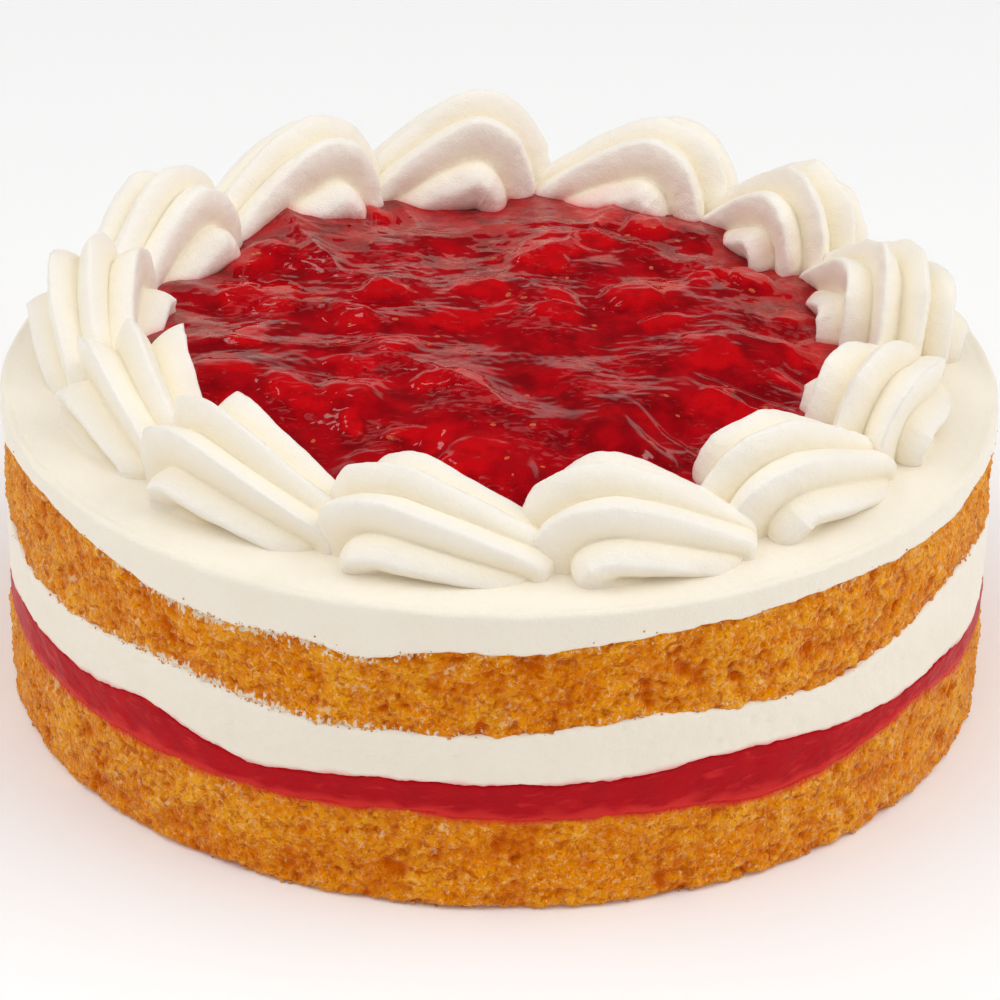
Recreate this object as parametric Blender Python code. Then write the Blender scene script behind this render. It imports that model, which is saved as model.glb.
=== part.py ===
"""Strawberries and cream cake.

Two rounds of sponge with whipped cream and jam between them, cream on top,
a ring of piped cream shells round the edge, and strawberry jam inside the ring.
The origin is the centre of the base, and +Z is up.
"""

import math
from collections import namedtuple

import bmesh
import bpy
from mathutils import Euler, Vector, noise
from mathutils.bvhtree import BVHTree

# Lengths are in millimetres, and finished meshes are scaled to metres.
METRES_PER_MM = 0.001
GAP = 0.3

# The cake's layers
CAKE_RADIUS = 90.0
CAKE_HEIGHT = 57.5
SEAM_RADIUS = 88.9
CORE_RADIUS = 75.0
SPONGE_RADIUS = 89.4
JAM_RADIUS = 89.5
FILLING_RADIUS = 89.7
SPONGE_SIDE_SHARES = (0.2, 0.45, 0.7)
JAM_SIDE_SHARES = (0.5,)
FILLING_SIDE_SHARES = (0.1, 0.9)
SIDE_STEPS = 64
CRUMB_SIZE = 5.0
CRUMB_DEPTH = 1.1
BASE_ROUNDING = 0.9
TOP_ROUNDING = 1.2
TOP_FOOT = 0.8
FLAT_DEGREES = 0.05

# Where two layers meet at the side: the mean height above the base, then the
# rises and dips round the cake as (angle in degrees, height, width in degrees).
Seam = namedtuple("Seam", "height waves")
SEAM_BOTTOM_SPONGE = Seam(18.0, (
    (260, 1.0, 6), (302, -2.0, 9), (326, 2.4, 8),
    (20, -1.0, 14), (62, 1.2, 12), (110, -1.4, 16), (158, 0.9, 12),
))
SEAM_JAM = Seam(24.7, (
    (228, 2.0, 6), (244, -2.3, 8), (297, 1.7, 10), (320, -1.0, 10), (340, -2.0, 8),
    (15, 1.4, 12), (70, -1.2, 14), (118, 1.5, 12), (165, -0.9, 14),
))
SEAM_CREAM_FILLING = Seam(35.0, (
    (206, -0.7, 10), (230, 1.3, 8), (252, -1.5, 10), (268, -1.0, 8), (287, 1.3, 8),
    (309, -1.6, 7), (336, 4.4, 14), (30, -1.3, 16), (84, 1.6, 14), (136, -1.5, 16), (178, 1.1, 10),
))
SEAM_TOP_SPONGE = Seam(52.0, (
    (208, 2.5, 12), (238, -3.5, 14), (256, -3.5, 6), (272, -2.0, 10), (308, 1.0, 15),
    (340, 2.0, 8), (16, -1.5, 14), (56, 1.4, 12), (98, -2.4, 16), (142, 1.2, 14), (176, -1.2, 10),
))

# The piped shells, anticlockwise from the front. Each starts at its own angle
# with a round head, and its tail runs on under the head of the next. lean rolls
# a shell about its length, and turn swings its tail outwards, both in degrees.
Shell = namedtuple("Shell", "start radius half_width height head lean turn ridges")
SHELLS = (
    Shell(244.5, 68.0, 14.2, 16.2, 15.5, -8, 10, 5),
    Shell(272.8, 69.5, 14.6, 16.8, 17.5, -6, 15, 5),
    Shell(299.8, 68.5, 14.0, 17.2, 17.0, -9, 10, 5),
    Shell(328.2, 69.5, 13.4, 18.8, 14.5, -5, 8, 5),
    Shell(357.4, 71.0, 13.8, 22.3, 14.5, -6, 2, 6),
    Shell(28.5, 72.0, 13.8, 22.5, 15.0, -5, 2, 6),
    Shell(53.0, 71.5, 14.0, 23.0, 16.0, -7, -3, 5),
    Shell(82.0, 72.0, 14.6, 25.0, 16.0, -4, 2, 5),
    Shell(109.0, 71.0, 14.4, 23.2, 14.5, -6, 0, 5),
    Shell(137.0, 72.0, 14.0, 22.3, 14.5, -5, 2, 5),
    Shell(163.5, 72.0, 13.6, 22.0, 14.0, -6, -2, 5),
    Shell(188.0, 67.5, 14.0, 18.5, 14.5, 0, 2, 5),
    Shell(214.5, 68.0, 13.6, 18.0, 14.5, -6, 3, 5),
)
SHELL_TUCK = 7.0
SHELL_AXIS_SHARE = 0.22
SHELL_RIDGE_DEPTH = 0.26
RIDGE_ROUNDNESS = 0.75
SHELL_STEPS_PER_RIDGE = 4
SHELL_TURN_STEPS = 18
TAIL_DROP = 0.62
TAIL_DROP_POWER = 1.3
TAIL_NARROWING = 0.25
TAIL_POINTEDNESS = 0.35

# The plain surface round a shell stands this far outside its ridges. It cuts the
# tail that runs under the shell, and the jam spreads as far as it.
CUTTER_SWELL = 0.55
CUTTER_TURN_STEPS = 14
CUTTER_SIDE_STEPS = 12

# The jam on top
TOPPING_RADIUS = 66.0
TOPPING_CENTRE = Vector((0.0, 2.0, 0.0))
TOPPING_HEIGHT = 9.0
TOPPING_EDGE_HEIGHT = 5.0
TOPPING_FLAT_SHARE = 0.6
TOPPING_RINGS = 7
TOPPING_STEPS = 96
TOPPING_LEVELS = 3
TOPPING_REACH_STEP = 2.5
TOPPING_STEP_PARTS = (-0.5, -0.25, 0.0, 0.25, 0.5)
TOPPING_GAP = 0.6
LUMP_SIZE = 12.0
LUMP_HEIGHT = 5.0

# Colours are linear RGB.
CREAM_COLOUR = (0.94, 0.90, 0.79, 1.0)
SPONGE_COLOUR = (0.62, 0.31, 0.09, 1.0)
JAM_COLOUR = (0.36, 0.005, 0.008, 1.0)


def clear_scene():
    for thing in list(bpy.data.objects):
        bpy.data.objects.remove(thing, do_unlink=True)


def new_collection(name):
    collection = bpy.data.collections.new(name)
    bpy.context.scene.collection.children.link(collection)
    return collection


def new_material(name, colour, roughness):
    material = bpy.data.materials.new(name)
    material.use_nodes = True
    shader = material.node_tree.nodes["Principled BSDF"]
    shader.inputs["Base Color"].default_value = colour
    shader.inputs["Roughness"].default_value = roughness
    shader.inputs["Metallic"].default_value = 0.0
    return material


def new_object(name, bm, collection, material=None):
    """Scale the mesh to metres, and make an object of it whose faces point out."""
    bmesh.ops.recalc_face_normals(bm, faces=bm.faces)
    if bm.calc_volume(signed=True) < 0.0:
        bmesh.ops.reverse_faces(bm, faces=bm.faces)
    bmesh.ops.scale(bm, vec=Vector((1.0, 1.0, 1.0)) * METRES_PER_MM, verts=bm.verts)
    mesh = bpy.data.meshes.new(name)
    bm.to_mesh(mesh)
    bm.free()
    thing = bpy.data.objects.new(name, mesh)
    collection.objects.link(thing)
    if material:
        mesh.materials.append(material)
        mesh.shade_smooth()
        mesh.set_sharp_from_angle(angle=math.radians(40))
    return thing


def ease(share):
    """Smooth step from 0 to 1."""
    share = min(1.0, max(0.0, share))
    return share * share * (3.0 - 2.0 * share)


def mix(low, high, share):
    return low + (high - low) * share


def seam_height(seam, angle, radius):
    """Height of a seam: wavy at the side, and level inside."""
    rise = 0.0
    for centre, height, width in seam.waves:
        apart = (angle - centre + 180.0) % 360.0 - 180.0
        rise += height * math.exp(-((apart / width) ** 2))
    return seam.height + rise * ease((radius - CORE_RADIUS) / (SEAM_RADIUS - CORE_RADIUS))


def turned(profile, steps):
    """Closed surface of a profile, from axis to axis, turned round Z."""
    bm = bmesh.new()
    points = [bm.verts.new((radius, 0.0, height)) for radius, height in profile]
    edges = [bm.edges.new(pair) for pair in zip(points, points[1:])]
    bmesh.ops.spin(
        bm, geom=points + edges, cent=(0, 0, 0), axis=(0, 0, 1),
        angle=math.tau, steps=steps, use_merge=True,
    )
    bmesh.ops.remove_doubles(bm, verts=bm.verts, dist=0.001)
    return bm


def layer(name, lower, upper, side, crumb, collection, material):
    """A layer between two seams, either of which may be None at a flat end.

    side lists the points of the profile between the seams, from the bottom up,
    as (radius, height) for a layer whose seams are level.
    """
    bottom = lower.height if lower else 0.0
    top = upper.height if upper else CAKE_HEIGHT
    profile = [(0.0, bottom), (CORE_RADIUS, bottom), *side, (CORE_RADIUS, top), (0.0, top)]
    bm = turned(profile, SIDE_STEPS)
    for vert in bm.verts:
        radius = vert.co.xy.length
        angle = math.degrees(math.atan2(vert.co.y, vert.co.x))
        share = (vert.co.z - bottom) / (top - bottom)
        rise = seam_height(lower, angle, radius) - bottom + GAP / 2 if lower else 0.0
        drop = seam_height(upper, angle, radius) - top - GAP / 2 if upper else 0.0
        if crumb and 0.0 < share < 1.0:
            bump = noise.noise(vert.co / CRUMB_SIZE) * CRUMB_DEPTH
            vert.co.xy *= (radius + bump) / radius
        vert.co.z += mix(rise, drop, ease(share))
    # The shorter diagonal is the same one on both sides of a seam.
    bmesh.ops.triangulate(bm, faces=bm.faces, quad_method="SHORT_EDGE")
    bmesh.ops.dissolve_limit(
        bm, angle_limit=math.radians(FLAT_DEGREES), verts=bm.verts, edges=bm.edges
    )
    return new_object(name, bm, collection, material)


def side_points(radius, lower_height, upper_height, shares):
    """Points of a straight side, at shares of the way up a layer."""
    return [(radius, mix(lower_height, upper_height, share)) for share in shares]


def make_layers(collection, sponge, cream, jam):
    base, jam_bottom, jam_top = 0.0, SEAM_BOTTOM_SPONGE.height, SEAM_JAM.height
    filling_top, sponge_top = SEAM_CREAM_FILLING.height, SEAM_TOP_SPONGE.height

    side = [(SPONGE_RADIUS - BASE_ROUNDING, base), (SPONGE_RADIUS, BASE_ROUNDING)]
    side += side_points(SPONGE_RADIUS, base, jam_bottom, SPONGE_SIDE_SHARES)
    side.append((SEAM_RADIUS, jam_bottom))
    layer("sponge_bottom", None, SEAM_BOTTOM_SPONGE, side, True, collection, sponge)

    side = [(SEAM_RADIUS, jam_bottom)]
    side += side_points(JAM_RADIUS, jam_bottom, jam_top, JAM_SIDE_SHARES)
    side.append((SEAM_RADIUS, jam_top))
    layer("jam_filling", SEAM_BOTTOM_SPONGE, SEAM_JAM, side, False, collection, jam)

    side = [(SEAM_RADIUS, jam_top)]
    side += side_points(FILLING_RADIUS, jam_top, filling_top, FILLING_SIDE_SHARES)
    side.append((SEAM_RADIUS, filling_top))
    layer("cream_filling", SEAM_JAM, SEAM_CREAM_FILLING, side, False, collection, cream)

    side = [(SEAM_RADIUS, filling_top)]
    side += side_points(SPONGE_RADIUS, filling_top, sponge_top, SPONGE_SIDE_SHARES)
    side.append((SEAM_RADIUS, sponge_top))
    layer("sponge_top", SEAM_CREAM_FILLING, SEAM_TOP_SPONGE, side, True, collection, sponge)

    bevel = TOP_ROUNDING * (1.0 - math.sqrt(0.5))
    side = [
        (SEAM_RADIUS, sponge_top),
        (CAKE_RADIUS, sponge_top + TOP_FOOT),
        (CAKE_RADIUS, CAKE_HEIGHT - TOP_ROUNDING),
        (CAKE_RADIUS - bevel, CAKE_HEIGHT - bevel),
        (CAKE_RADIUS - TOP_ROUNDING, CAKE_HEIGHT),
    ]
    layer("cream_top", SEAM_TOP_SPONGE, None, side, False, collection, cream)


def shell_point(direction, shell, tail_length, ridge_depth, swell):
    """Carry a point of a unit sphere, whose poles face in and out, to a shell.

    Circles round the poles become the ridges: they wrap the head and run down
    the tail. The result is (along the ring, across it, up).
    """
    along, across, up = direction
    lateral = math.asin(max(-1.0, min(1.0, across)))
    turn = math.atan2(up, along)
    ridge_share = (lateral / math.pi + 0.5) * shell.ridges
    ridge = abs(math.sin(math.pi * ridge_share)) ** RIDGE_ROUNDNESS
    fullness = 1.0 - ridge_depth * (1.0 - ridge)
    axis_height = SHELL_AXIS_SHARE * shell.height
    half_width = (shell.half_width + swell) * math.sin(lateral) * fullness
    reach = math.cos(lateral) * fullness
    crown = shell.height - axis_height + swell
    if along < 0.0:
        place = (shell.head + swell) * reach * math.cos(turn)
        height = axis_height + crown * reach * math.sin(turn)
        return Vector((place, half_width, height))
    tail_share = math.cos(turn)
    place = (tail_length + swell) * tail_share * math.cos(lateral) ** TAIL_POINTEDNESS
    taper = 1.0 - TAIL_DROP * tail_share ** TAIL_DROP_POWER
    roundness = math.copysign(math.sqrt(abs(math.sin(turn))), turn)
    height = axis_height * taper + crown * reach * taper * roundness
    half_width *= 1.0 - TAIL_NARROWING * tail_share ** TAIL_DROP_POWER
    return Vector((place, half_width, height))


def shell_mesh(index, ridge_depth, swell, turn_steps, side_steps):
    """A shell in its place on the ring, before its foot is cut level."""
    shell = SHELLS[index]
    following = SHELLS[(index + 1) % len(SHELLS)]
    pitch = math.radians((following.start - shell.start) % 360.0) * shell.radius
    tail_length = pitch - shell.head + SHELL_TUCK
    pose = Euler((math.radians(shell.lean), 0.0, math.radians(shell.turn))).to_matrix()
    bm = bmesh.new()
    bmesh.ops.create_uvsphere(bm, u_segments=turn_steps, v_segments=side_steps, radius=1.0)
    for vert in bm.verts:
        direction = (vert.co.x, vert.co.z, vert.co.y)
        place = pose @ shell_point(direction, shell, tail_length, ridge_depth, swell)
        angle = math.radians(shell.start) + (shell.head + place.x) / shell.radius
        radius = shell.radius + place.y
        height = CAKE_HEIGHT + place.z
        vert.co = Vector((radius * math.cos(angle), radius * math.sin(angle), height))
    return bm


def cut_level(bm, height):
    """Keep what is above a height, and close the cut."""
    geometry = bm.verts[:] + bm.edges[:] + bm.faces[:]
    cut = bmesh.ops.bisect_plane(
        bm, geom=geometry, dist=0.0001, plane_co=(0, 0, height), plane_no=(0, 0, 1),
        clear_inner=True,
    )
    rim = [part for part in cut["geom_cut"] if isinstance(part, bmesh.types.BMEdge)]
    bmesh.ops.edgeloop_fill(bm, edges=rim)


def make_shells(collection, cutters, cream):
    shell_cutters = []
    for index in range(len(SHELLS)):
        bm = shell_mesh(index, 0.0, CUTTER_SWELL, CUTTER_TURN_STEPS, CUTTER_SIDE_STEPS)
        cutter = new_object(f"shell_cutter_{index + 1:02d}", bm, cutters)
        cutter.display_type = "WIRE"
        cutter.hide_render = True
        shell_cutters.append(cutter)
    for index in range(len(SHELLS)):
        side_steps = SHELLS[index].ridges * SHELL_STEPS_PER_RIDGE
        bm = shell_mesh(index, SHELL_RIDGE_DEPTH, 0.0, SHELL_TURN_STEPS, side_steps)
        cut_level(bm, CAKE_HEIGHT + GAP)
        shell = new_object(f"shell_{index + 1:02d}", bm, collection, cream)
        boolean = shell.modifiers.new("cut under the next shell", "BOOLEAN")
        boolean.operation = "DIFFERENCE"
        boolean.object = shell_cutters[(index + 1) % len(SHELLS)]


def shell_walls():
    """Search tree of the plain outer surface of every shell."""
    points = []
    faces = []
    for index in range(len(SHELLS)):
        side_steps = SHELLS[index].ridges * SHELL_STEPS_PER_RIDGE
        bm = shell_mesh(index, 0.0, CUTTER_SWELL, SHELL_TURN_STEPS, side_steps)
        first = len(points)
        points += [vert.co.copy() for vert in bm.verts]
        faces += [[vert.index + first for vert in face.verts] for face in bm.faces]
        bm.free()
    return BVHTree.FromPolygons(points, faces)


def topping_height(x, y, share):
    """Height of the jam above its foot, at a share of the way to its rim."""
    edge_share = (share - TOPPING_FLAT_SHARE) / (1.0 - TOPPING_FLAT_SHARE)
    height = mix(TOPPING_HEIGHT, TOPPING_EDGE_HEIGHT, ease(edge_share))
    return height + LUMP_HEIGHT * noise.noise(Vector((x, y, 0.0)) / LUMP_SIZE)


def reach_of_jam(walls, angle, height):
    """How far the jam spreads from its centre, at a height, to meet the shells.

    It is the least reach found between halfway to the step before and halfway
    to the step after.
    """
    origin = TOPPING_CENTRE + Vector((0.0, 0.0, height))
    reach = TOPPING_RADIUS
    for part in TOPPING_STEP_PARTS:
        aside = angle + math.tau * part / TOPPING_STEPS
        hit = walls.ray_cast(origin, Vector((math.cos(aside), math.sin(aside), 0.0)))
        reach = min(reach, hit[3] or reach)
    return reach - TOPPING_GAP


def without_spikes(reaches):
    """Hold each reach to little more than the lower of its neighbours."""
    lower = [min(reaches[i - 1], reaches[(i + 1) % len(reaches)]) for i in range(len(reaches))]
    return [min(reach, low + TOPPING_REACH_STEP) for reach, low in zip(reaches, lower)]


def make_topping(collection, jam):
    bottom = CAKE_HEIGHT + GAP
    walls = shell_walls()
    angles = [math.tau * step / TOPPING_STEPS for step in range(TOPPING_STEPS)]
    rims = []
    for angle in angles:
        reach = reach_of_jam(walls, angle, bottom + TOPPING_EDGE_HEIGHT)
        rims.append(topping_height(reach * math.cos(angle), reach * math.sin(angle), 1.0))
    levels = [level / TOPPING_LEVELS for level in range(TOPPING_LEVELS + 1)]
    reaches = [
        without_spikes([reach_of_jam(walls, angle, bottom + level * rim)
                        for angle, rim in zip(angles, rims)])
        for level in levels
    ]
    profile = [(0.0, 0.0)] + [(1.0, level) for level in levels]
    profile += [(ring / TOPPING_RINGS, 1.0) for ring in range(TOPPING_RINGS - 1, -1, -1)]
    bm = turned(profile, TOPPING_STEPS)
    for vert in bm.verts:
        share = vert.co.xy.length
        level = vert.co.z
        angle = math.atan2(vert.co.y, vert.co.x)
        step = round(angle / math.tau * TOPPING_STEPS) % TOPPING_STEPS
        radius = share * reaches[round(level * TOPPING_LEVELS)][step]
        x = radius * math.cos(angle)
        y = radius * math.sin(angle)
        at_rim = share > 1.0 - 0.5 / TOPPING_RINGS
        height = rims[step] if at_rim else topping_height(x, y, share)
        vert.co = Vector((x, y, bottom + level * height))
    bmesh.ops.translate(bm, verts=bm.verts, vec=TOPPING_CENTRE)
    new_object("jam_topping", bm, collection, jam)


def main():
    clear_scene()
    cake = new_collection("strawberries_and_cream_cake")
    cutters = new_collection("cutters")
    sponge = new_material("sponge", SPONGE_COLOUR, 0.85)
    cream = new_material("whipped_cream", CREAM_COLOUR, 0.5)
    jam = new_material("strawberry_jam", JAM_COLOUR, 0.15)
    make_layers(cake, sponge, cream, jam)
    make_shells(cake, cutters, cream)
    make_topping(cake, jam)


main()
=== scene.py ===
"""The looks of the strawberries and cream cake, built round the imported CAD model.

Each CAD solid is replaced by a finer piece of the same form: crumbly sponge,
whipped cream, piped shells with their ridges, and lumpy strawberry jam. Loose
crumbs, strawberry seeds and small bubbles are added.
"""

import math
import random
from collections import namedtuple

import bmesh
import bpy
import numpy as np
from mathutils import Euler, Matrix, Vector, noise
from mathutils.bvhtree import BVHTree


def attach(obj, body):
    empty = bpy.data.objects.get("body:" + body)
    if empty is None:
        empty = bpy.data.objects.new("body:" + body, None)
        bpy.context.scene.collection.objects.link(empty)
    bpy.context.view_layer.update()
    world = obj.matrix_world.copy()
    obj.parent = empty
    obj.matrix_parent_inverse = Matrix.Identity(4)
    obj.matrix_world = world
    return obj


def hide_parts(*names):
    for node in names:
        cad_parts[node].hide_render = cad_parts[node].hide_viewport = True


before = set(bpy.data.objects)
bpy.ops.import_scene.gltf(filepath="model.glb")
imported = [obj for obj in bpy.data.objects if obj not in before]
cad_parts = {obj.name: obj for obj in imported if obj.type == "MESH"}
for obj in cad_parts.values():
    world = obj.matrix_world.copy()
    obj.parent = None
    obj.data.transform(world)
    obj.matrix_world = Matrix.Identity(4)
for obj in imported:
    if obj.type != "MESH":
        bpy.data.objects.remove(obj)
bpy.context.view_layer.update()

# Lengths are in millimetres, and finished meshes are scaled to metres.
METRES_PER_MM = 0.001
BODY = "root"

# The cake's layers
CAKE_RADIUS = 90.0
CAKE_HEIGHT = 57.5
SEAM_RADIUS = 88.9
CORE_RADIUS = 75.0
SPONGE_RADIUS = 89.3
JAM_RADIUS = 89.3
FILLING_RADIUS = 89.4
SEAM_OVERLAP = 0.12
# Rings of points inside a layer, where the others hide it
HIDDEN_RADII = (86.0, 81.0, 75.0)
# Where the fine relief of a side starts, and how far out from there it is full
RELIEF_RADIUS = 86.5
RELIEF_RAMP = 2.0

# Where two layers meet at the side: the mean height above the base, then the
# rises and dips round the cake as (angle in degrees, height, width in degrees).
Seam = namedtuple("Seam", "height waves")
SEAM_BOTTOM_SPONGE = Seam(18.0, (
    (260, 1.0, 6), (302, -2.0, 9), (326, 2.4, 8),
    (20, -1.0, 14), (62, 1.2, 12), (110, -1.4, 16), (158, 0.9, 12),
))
SEAM_JAM = Seam(24.7, (
    (228, 2.0, 6), (244, -2.3, 8), (297, 1.7, 10), (320, -1.0, 10), (340, -2.0, 8),
    (15, 1.4, 12), (70, -1.2, 14), (118, 1.5, 12), (165, -0.9, 14),
))
SEAM_CREAM_FILLING = Seam(35.0, (
    (206, -0.7, 10), (230, 1.3, 8), (252, -1.5, 10), (268, -1.0, 8), (287, 1.3, 8),
    (309, -1.6, 7), (336, 4.4, 14), (30, -1.3, 16), (84, 1.6, 14), (136, -1.5, 16), (178, 1.1, 10),
))
SEAM_TOP_SPONGE = Seam(52.0, (
    (208, 2.5, 12), (238, -3.5, 14), (256, -3.5, 6), (272, -2.0, 10), (308, 1.0, 15),
    (340, 2.0, 8), (16, -1.5, 14), (56, 1.4, 12), (98, -2.4, 16), (142, 1.2, 14), (176, -1.2, 10),
))
CREAM_SEAMS = (SEAM_CREAM_FILLING, SEAM_TOP_SPONGE)
# The fine unevenness of the seams: size and height
WOBBLE_SIZES = ((6.0, 0.45), (2.2, 0.28), (0.9, 0.14))
JAM_WOBBLE_SHARE = 1.5
# Where the sponge's edges are torn by the knife: angle and width in degrees
RAGGED_ANGLE = 240.0
RAGGED_WIDTH = 16.0
RAGGED_HEIGHT = 1.1
TOOTH_SIZE = 1.3
TOOTH_SEED = 90.0
TOOTH_FOOT = 0.2

# The sides of the layers. Each has its rings, the points of each ring, how much
# its edges are rounded, the share of its height that this takes, and how far its
# relief may stand out.
Side = namedtuple("Side", "radius rings steps rounding edge_share highest")
SPONGE_SIDE = Side(SPONGE_RADIUS, 40, 1150, 0.25, 0.08, 0.62)
FILLING_SIDE = Side(FILLING_RADIUS, 22, 820, 0.4, 0.06, 0.4)
JAM_SIDE = Side(JAM_RADIUS, 18, 900, 0.25, 0.12, 0.5)
# The lowest edge is rounded more
BASE_ROUNDING = 1.6

# The relief of the layers: height, size, seed and sometimes stretch of each noise
SPONGE_RELIEF = ((0.4, 9.0, 0.0), (0.4, 3.0, 3.0), (0.42, 1.4, 7.0), (0.3, 0.8, 9.0))
FILLING_RELIEF = ((0.22, 9.0, 3.0, (1.0, 1.0, 0.5)), (0.12, 1.8, 5.0), (0.1, 1.2, 7.0, (1.0, 1.0, 2.5)))
JAM_RELIEF = ((0.3, 6.0, 13.0), (0.14, 2.0, 15.0, (1.0, 1.0, 0.6)))
TOP_SIDE_RELIEF = ((0.18, 12.0, 21.0, (1.0, 1.0, 0.5)), (0.05, 1.6, 23.0))
TOP_RELIEF = ((0.22, 16.0, 25.0), (0.08, 3.0, 27.0))
# Pits in the sponge and the cream: depth, size, seed and share of the cells
SPONGE_PITS = ((0.9, 3.6, 0.0, 0.3), (0.55, 1.8, 5.0, 0.4))
FILLING_PITS = ((0.4, 2.2, 11.0, 0.2),)
# The bends that make the sponge's pits uneven
PIT_BEND = 1.3
PIT_BEND_SIZE = 1.6
PIT_BEND_SEEDS = (11, 13, 17)
SPONGE_LOWERED = 0.15
STAINED_FLATNESS = 0.8
# The notches in the sponge's foot
FOOT_NOTCHES = ((1.0, 2.6, 35.0), (0.6, 1.1, 37.0))
FOOT_HEIGHT = 1.6
FOOT_NOTCH = 1.3
# Cream smeared over the sponge's edges, and jam soaked into its top
SMEAR_HEIGHT = 2.2
SMEAR_LEAST = 0.35
SMEAR_SPREAD = 1.4
SOAK_DEPTH = 1.3
SOAK_UNEVENNESS = 1.6

# The cream on top
TOP_ROUNDING = 1.2
TOP_STRAIGHT_SHARE = 0.86
TOP_TURNS = (0.3, 0.55, 0.75, 0.9, 1.0)
TOP_SIDE_RINGS = 16
TOP_STEPS = 760
TOP_FOOT_ROUNDING = 0.35
TOP_FOOT_SHARE = 0.03
TOP_INNER_RADII = tuple(np.linspace(88.2, 44.0, 46))
TOP_SIDE_LOWERED = 0.12
TOP_LOWERED = 0.26
# The strokes of the knife round the top
STROKE_HEIGHT = 0.12
STROKE_SIZE = 2.4
STROKE_SEED = 29.0
STROKE_LENGTH = 9.0

# The piped shells, anticlockwise from the front. Each starts at its own angle
# with a round head, and its tail runs on under the head of the next. lean rolls
# a shell about its length, and turn swings its tail outwards, both in degrees.
# sharp is how much its ridges are folded to an edge, with a corner where they start.
Shell = namedtuple("Shell", "start radius half_width height head lean turn ridges sharp")
SHELLS = (
    Shell(244.5, 68.0, 14.2, 16.2, 15.5, -8, 10, 5, 0.65),
    Shell(272.8, 69.5, 14.6, 16.8, 17.5, -6, 15, 5, 0.55),
    Shell(299.8, 68.5, 14.0, 17.2, 17.0, -9, 10, 5, 0.6),
    Shell(328.2, 69.5, 13.4, 18.8, 14.5, -5, 8, 5, 0.75),
    Shell(357.4, 71.0, 13.8, 22.3, 14.5, -6, 2, 6, 0.8),
    Shell(28.5, 72.0, 13.8, 22.5, 15.0, -5, 2, 6, 0.6),
    Shell(53.0, 71.5, 14.0, 23.0, 16.0, -7, -3, 5, 0.4),
    Shell(82.0, 72.0, 14.6, 25.0, 16.0, -4, 2, 5, 0.3),
    Shell(109.0, 71.0, 14.4, 23.2, 14.5, -6, 0, 5, 0.3),
    Shell(137.0, 72.0, 14.0, 22.3, 14.5, -5, 2, 5, 0.25),
    Shell(163.5, 72.0, 13.6, 22.0, 14.0, -6, -2, 5, 0.7),
    Shell(188.0, 67.5, 14.0, 18.5, 14.5, 0, 2, 5, 1.0),
    Shell(214.5, 68.0, 13.6, 18.0, 14.5, -6, 3, 5, 1.0),
)
SHELL_TUCK = 7.0
SHELL_AXIS_SHARE = 0.22
ROUND_RIDGE_DEPTH = 0.26
SHARP_RIDGE_DEPTH = 0.33
RIDGE_ROUNDNESS = 0.62
RIDGE_SHARPNESS = 0.85
RIDGE_CORNER_TURN = 125.0
RIDGE_CORNER_WIDTH = 26.0
RIDGE_DROOP = 1.7
TAIL_DROP = 0.62
TAIL_DROP_POWER = 1.3
TAIL_NARROWING = 0.25
TAIL_POINTEDNESS = 0.35
SHELL_LATERAL_STEPS = 96
SHELL_TURN_STEPS = 150
SHELL_SUNK = 0.5
CORNER_SPREAD = 14.0
CORNER_HEIGHTS = (0.05, 0.14)
RIDGE_HEIGHTS = (-0.05, 0.02)
# Jam colours the shells within this reach of its centre, and it is smeared on
# those at the back, round an angle in degrees. The fades are heights above the jam.
STAIN_REACH = 68.0
SMEAR_ANGLE = 94.0
SMEAR_WIDTH = 9.0
STAIN_FADE = 0.5
SMEAR_FADE = 3.8

# The jam on top
TOPPING_RADIUS = 67.0
TOPPING_CENTRE = Vector((0.0, 2.0, 0.0))
TOPPING_HEIGHT = 9.0
TOPPING_EDGE_HEIGHT = 5.0
TOPPING_FLAT_SHARE = 0.6
TOPPING_RINGS = 120
TOPPING_STEPS = 540
TOPPING_LEVELS = 6
TOPPING_INTO_SHELLS = 0.9
TOPPING_REACH_STEP = 1.6
TOPPING_SUNK = 0.3
TOPPING_LOWERED = 1.3
# Its wide swells (height, size and seed), the height of its wrinkles, what they
# gain in the patches where a pale sheen is painted, and the height of the fine ones there
TOPPING_SWELLS = ((1.4, 12.0, 0.0), (1.4, 27.0, 41.0))
WRINKLE_LEAST = 0.08
WRINKLE_IN_SKIN = 0.16
FINE_WRINKLE = 0.11
# Banks of jam against the shells: angle in degrees, height, width in degrees
TOPPING_BANKS = (
    (60, 3.5, 16), (90, 2.5, 20), (128, 4.5, 14), (165, 2.0, 14), (186, 3.0, 14), (205, 4.2, 11),
)
# Folds of the jam that the photo shows: height, then places along each
TOPPING_FOLDS = (
    (1.6, ((-41.0, 47.0), (-36.0, 33.0), (-30.7, 22.0), (-23.7, 17.5), (-15.5, 18.0))),
    (1.3, ((4.0, 26.6), (12.3, 33.6), (16.6, 40.6), (20.0, 49.5), (24.0, 61.0))),
    (0.9, ((-41.6, 9.3), (-31.4, 8.0), (-26.0, 3.7), (-20.5, 0.5))),
    (1.0, ((-25.3, -15.0), (-16.0, -14.6), (-7.4, -24.6), (2.4, -32.8))),
    (1.0, ((16.6, 40.6), (22.8, 36.0), (30.8, 29.5), (38.0, 29.0))),
    (0.8, ((-52.7, -7.3), (-42.6, -8.5), (-33.3, -9.3), (-25.4, -10.6))),
)
FOLD_WIDTH = 2.4
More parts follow.
